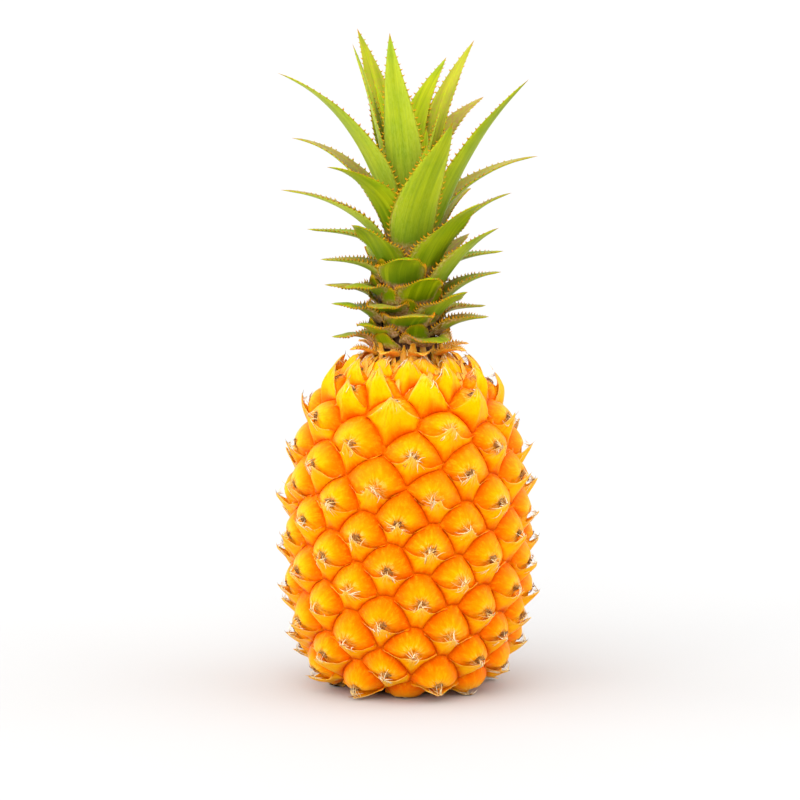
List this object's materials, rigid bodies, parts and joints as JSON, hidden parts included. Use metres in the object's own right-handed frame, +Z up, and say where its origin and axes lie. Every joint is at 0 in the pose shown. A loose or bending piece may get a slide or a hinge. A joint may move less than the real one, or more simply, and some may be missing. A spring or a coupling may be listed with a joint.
{
  "type": "pineapple",
  "caption": "Fresh pineapple: a barrel-shaped fruit of joined eyes with a spiny leaf crown, standing upright on its flattened base.",
  "frame": {"origin": "on the fruit's axis at the flat cut face of its stalk, level with the ground it stands on", "axes": "+Z up along the fruit's axis towards the crown; -Y is the front, +X is right seen from the front"},
  "size_m": [0.0985, 0.0973, 0.25],
  "materials": {
    "rind": "waxy, slightly glossy golden rind",
    "leaf": "satin waxy leaf",
    "dry_bract": "dry and papery",
    "stem": "dull fibrous stem",
    "cut_stalk": "dry cut fibres"
  },
  "bodies": {
    "root": {"fruit": "rind", "peduncle_stub": "cut_stalk", "crown_stem": "stem", "collar_bract_01": "dry_bract", "collar_bract_02": "dry_bract", "collar_bract_03": "dry_bract", "collar_bract_04": "dry_bract", "collar_bract_05": "dry_bract", "collar_bract_06": "dry_bract", "collar_bract_07": "dry_bract", "collar_bract_08": "dry_bract", "leaf_01": "leaf", "leaf_02": "leaf", "leaf_03": "leaf", "leaf_04": "leaf", "leaf_05": "leaf", "leaf_06": "leaf", "leaf_07": "leaf", "leaf_08": "leaf", "leaf_09": "leaf", "leaf_10": "leaf", "leaf_11": "leaf", "leaf_12": "leaf", "leaf_13": "leaf", "leaf_14": "leaf", "leaf_15": "leaf", "leaf_16": "leaf", "leaf_17": "leaf", "leaf_18": "leaf", "leaf_19": "leaf", "leaf_20": "leaf", "leaf_21": "leaf", "leaf_22": "leaf", "leaf_23": "leaf", "leaf_24": "leaf", "leaf_25": "leaf", "leaf_26": "leaf", "leaf_27": "leaf", "leaf_28": "leaf", "leaf_29": "leaf", "leaf_30": "leaf", "leaf_31": "leaf", "leaf_32": "leaf", "leaf_33": "leaf", "leaf_34": "leaf", "leaf_35": "leaf", "leaf_36": "leaf", "leaf_37": "leaf", "leaf_38": "leaf", "leaf_39": "leaf", "leaf_40": "leaf", "leaf_41": "leaf", "leaf_42": "leaf", "leaf_43": "leaf", "leaf_44": "leaf", "leaf_45": "leaf", "leaf_46": "leaf", "leaf_47": "leaf", "leaf_48": "leaf"}
  },
  "joints": []
}
